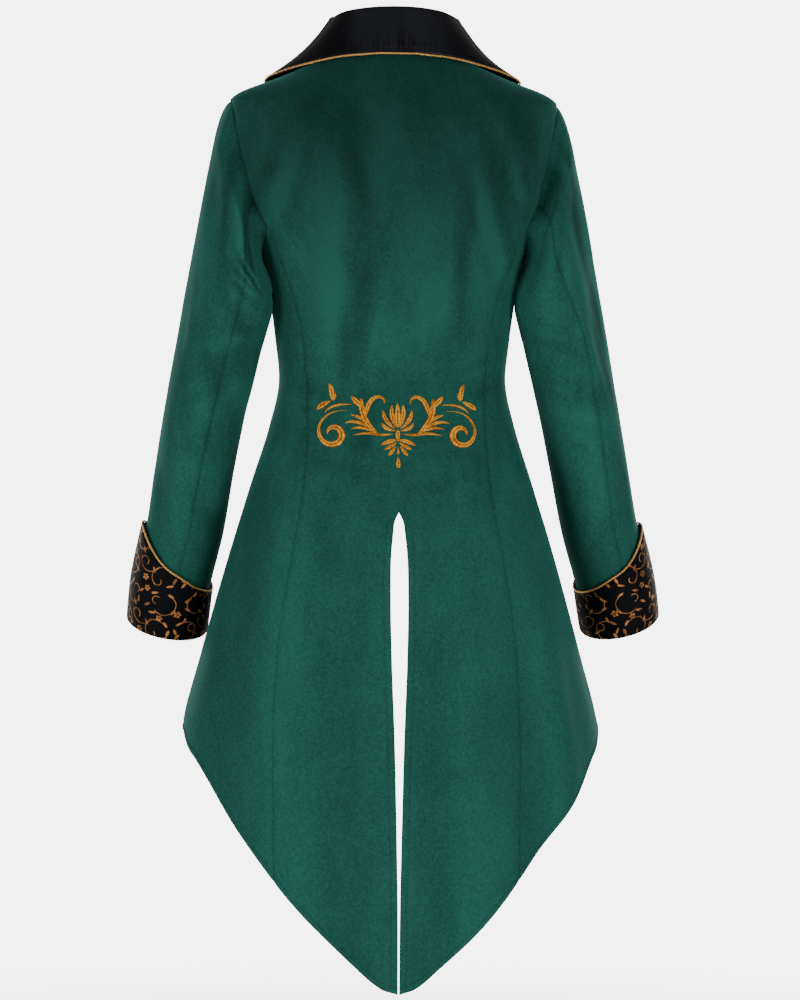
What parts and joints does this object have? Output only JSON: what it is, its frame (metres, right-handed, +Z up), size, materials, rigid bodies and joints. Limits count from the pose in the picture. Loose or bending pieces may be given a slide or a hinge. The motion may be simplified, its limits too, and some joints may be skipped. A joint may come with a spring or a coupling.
{
  "type": "tailcoat",
  "caption": "Worn-shape hollow tailcoat in green velvet with cutaway front, long split tails, gold-edged black satin shawl collar, black turned-back brocade cuffs and gold back embroidery",
  "frame": {"origin": "the middle of the neck base, level with the neck ends of the shoulder seams, where the wearer or a stand holds the coat up", "axes": "+Z is up, +X is to the wearer's left across the shoulders, and +Y points out of the coat's back; the front faces -Y"},
  "size_m": [0.6348, 0.2947, 1.1188],
  "materials": {
    "velvet": "green stretch velvet with a soft directional sheen, plain on its inside",
    "satin": "black satin with a soft shine",
    "brocade": "black woven ground with copper-gold scrolling leaves",
    "gold_cord": "pale gold satin piping"
  },
  "bodies": {
    "root": {"back": "velvet", "side_back_left": "velvet", "side_back_right": "velvet", "front_left": "velvet", "front_right": "velvet", "sleeve_top_left": "velvet", "sleeve_top_right": "velvet", "sleeve_under_left": "velvet", "sleeve_under_right": "velvet", "cuff_left": "brocade", "cuff_right": "brocade", "cuff_piping_left": "gold_cord", "cuff_piping_right": "gold_cord", "collar": "satin", "collar_piping": "gold_cord"}
  },
  "joints": []
}
